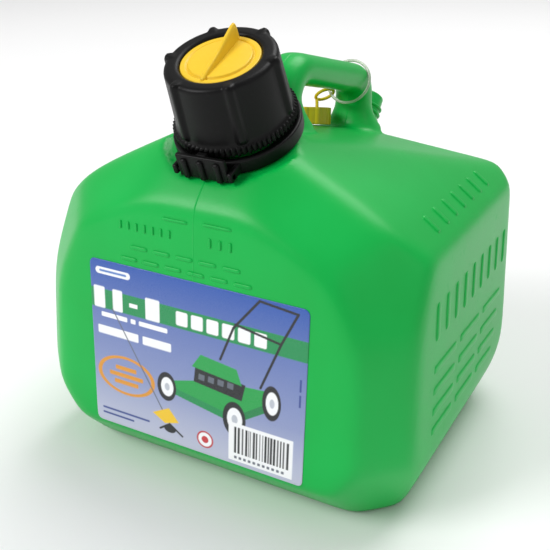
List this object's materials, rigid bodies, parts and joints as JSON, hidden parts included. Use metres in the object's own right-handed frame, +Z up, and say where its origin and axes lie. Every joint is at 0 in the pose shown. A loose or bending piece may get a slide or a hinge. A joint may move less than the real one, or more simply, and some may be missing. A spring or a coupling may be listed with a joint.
{
  "type": "safety gas can",
  "caption": "Moulded fuel can with a child-resistant screw closure on a forward-leaning neck, a carrying handle, a stored spout and a vent neck with a tethered cap.",
  "frame": {"origin": "middle of the flat base, on the surface that the can stands on", "axes": "+Z up, the labelled front faces -Y, +X to the right when seen from the front"},
  "size_m": [0.2146, 0.2127, 0.229],
  "materials": {
    "green_shell": "satin blow-moulded polyethylene",
    "printed_label": "semi-gloss printed film",
    "black_closure": "satin black polypropylene",
    "yellow_stopper": "satin yellow polyethylene",
    "gasket_rubber": "smooth fuel-resistant rubber",
    "black_spout": "flexible black polyethylene",
    "clear_tie": "translucent natural nylon",
    "yellow_cap": "satin yellow polyethylene",
    "white_liner": "soft foam liner"
  },
  "bodies": {
    "can": {"can_body": "green_shell", "front_label": "printed_label", "lock_ring": "black_closure", "pouring_spout": "black_spout", "spout_gasket": "gasket_rubber"},
    "tab": {"push_tab": "black_closure"},
    "stopper": {"stopper_disc": "yellow_stopper", "stopper_gasket": "gasket_rubber"},
    "collar": {"screw_collar": "black_closure"},
    "tie": {"tie_ring": "clear_tie"},
    "vent_cap": {"vent_cap": "yellow_cap", "vent_cap_liner": "white_liner"}
  },
  "joints": [
    {"name": "tab_press", "type": "hinge", "parent": "can", "child": "tab", "pos_m": [0, -0.08048, 0.16703], "axis": [1, 0, 0], "range_deg": [0, 6], "stiffness_Nm_per_rad": 0.3},
    {"name": "closure_lift", "type": "slide", "parent": "can", "child": "stopper", "axis": [0, -0.4067, 0.9135], "range_m": [0, 0.01], "stiffness_N_per_m": 3, "springref_m": 0.105},
    {"name": "collar_turn", "type": "hinge", "parent": "stopper", "child": "collar", "pos_m": [0, -0.04825, 0.177], "axis": [0, -0.4067, 0.9135], "range_deg": [0, 720]},
    {"name": "tie_swing", "type": "hinge", "parent": "can", "child": "tie", "pos_m": [0, 0.08372, 0.19119], "axis": [1, 0, 0], "range_deg": [-6, 0]},
    {"name": "vent_cap_swing", "type": "hinge", "parent": "tie", "child": "vent_cap", "pos_m": [-0.01049, 0.07414, 0.17347], "axis": [-0.5736, 0.3896, 0.7206], "range_deg": [0, 20]}
  ],
  "couplings": [
    {"joint": "closure_lift", "follows": "collar_turn", "m_per_rad": 0.00079577}
  ]
}
